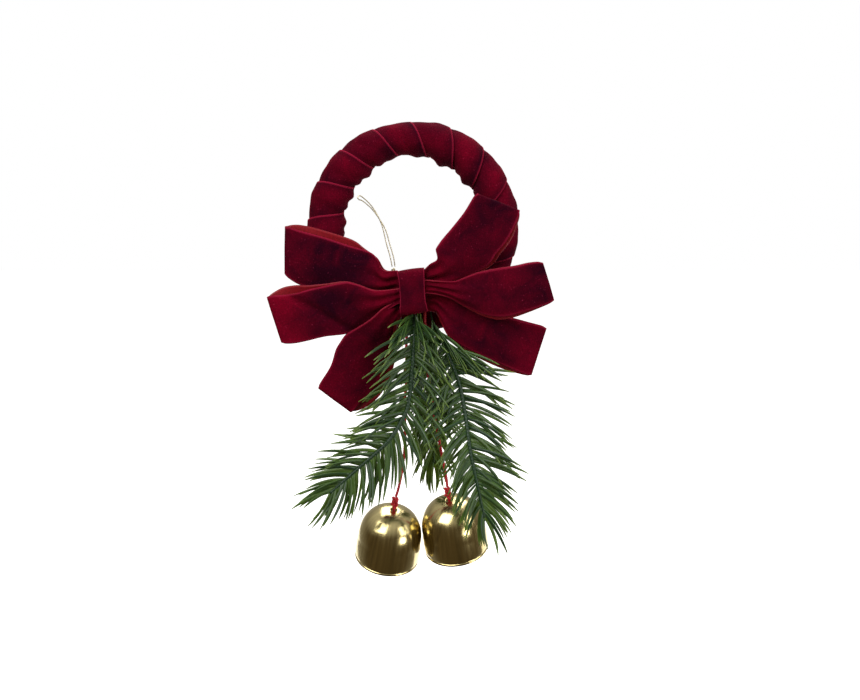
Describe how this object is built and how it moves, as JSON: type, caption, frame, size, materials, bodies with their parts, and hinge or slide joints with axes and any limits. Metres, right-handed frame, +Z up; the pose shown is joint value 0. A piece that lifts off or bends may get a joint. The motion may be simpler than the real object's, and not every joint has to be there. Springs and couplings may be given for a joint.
{
  "type": "christmas bell ornament",
  "caption": "Hanging ornament: velvet-wrapped hoop with a folded velvet bow, faux pine sprigs and small brass bells with clappers on red cords.",
  "frame": {"origin": "inside of the hoop at its top, on the surface that rests on the peg it hangs from", "axes": "+Z up, -Y towards the front with the bow, +X to the right seen from the front"},
  "size_m": [0.1325, 0.0498, 0.2247],
  "materials": {
    "velvet": "burgundy cotton-backed velvet ribbon, soft pile",
    "hoop_board": "plain moulded ring, unseen inside the ribbon",
    "green_wire": "dark green paper-wrapped florist's wire",
    "pine_foliage": "moulded polyethylene needles, satin",
    "red_cord": "braided cotton cord",
    "gold_thread": "metallised twisted thread",
    "bell_brass": "polished pale brass plate",
    "clapper_steel": "plain bright steel"
  },
  "bodies": {
    "ornament": {"hoop_core": "hoop_board", "hoop_ribbon": "velvet", "back_bow_ribbon": "velvet", "middle_bow_ribbon": "velvet", "front_bow_ribbon": "velvet", "knot_band": "velvet", "bow_tie_wire": "green_wire", "hanger_thread": "gold_thread", "hanger_knot": "gold_thread", "left_sprig_stem": "green_wire", "left_sprig_needles": "pine_foliage", "right_sprig_stem": "green_wire", "right_sprig_needles": "pine_foliage", "middle_sprig_stem": "green_wire", "middle_sprig_needles": "pine_foliage"},
    "left_cord_body": {"left_cord": "red_cord", "left_cord_knot": "red_cord"},
    "left_bell_body": {"left_bell": "bell_brass", "left_stopper_knot": "red_cord", "left_clapper_loop": "red_cord"},
    "left_clapper_body": {"left_clapper_rod": "clapper_steel", "left_clapper_ball": "clapper_steel"},
    "right_cord_body": {"right_cord": "red_cord", "right_cord_knot": "red_cord"},
    "right_bell_body": {"right_bell": "bell_brass", "right_stopper_knot": "red_cord", "right_clapper_loop": "red_cord"},
    "right_clapper_body": {"right_clapper_rod": "clapper_steel", "right_clapper_ball": "clapper_steel"}
  },
  "joints": [
    {"name": "left_cord_swing", "type": "hinge", "parent": "ornament", "child": "left_cord_body", "pos_m": [-0.0022, -0.0096, -0.074], "axis": [0, 1, 0], "range_deg": [0, 22]},
    {"name": "left_bell_rock", "type": "hinge", "parent": "left_cord_body", "child": "left_bell_body", "pos_m": [-0.0097, -0.0096, -0.1746], "axis": [1, 0, 0], "range_deg": [-22, 8]},
    {"name": "left_clapper_swing", "type": "hinge", "parent": "left_bell_body", "child": "left_clapper_body", "pos_m": [-0.01092, -0.00709, -0.18273], "axis": [0.0432, 0.9563, 0.2892], "range_deg": [-43, 43]},
    {"name": "right_cord_swing", "type": "hinge", "parent": "ornament", "child": "right_cord_body", "pos_m": [0.0059, -0.0096, -0.074], "axis": [0, 1, 0], "range_deg": [-22, 0]},
    {"name": "right_bell_rock", "type": "hinge", "parent": "right_cord_body", "child": "right_bell_body", "pos_m": [0.018, -0.0096, -0.1696], "axis": [1, 0, 0], "range_deg": [-22, 8]},
    {"name": "right_clapper_swing", "type": "hinge", "parent": "right_bell_body", "child": "right_clapper_body", "pos_m": [0.01922, -0.00709, -0.17773], "axis": [-0.0432, 0.9563, 0.2892], "range_deg": [-43, 43]}
  ]
}
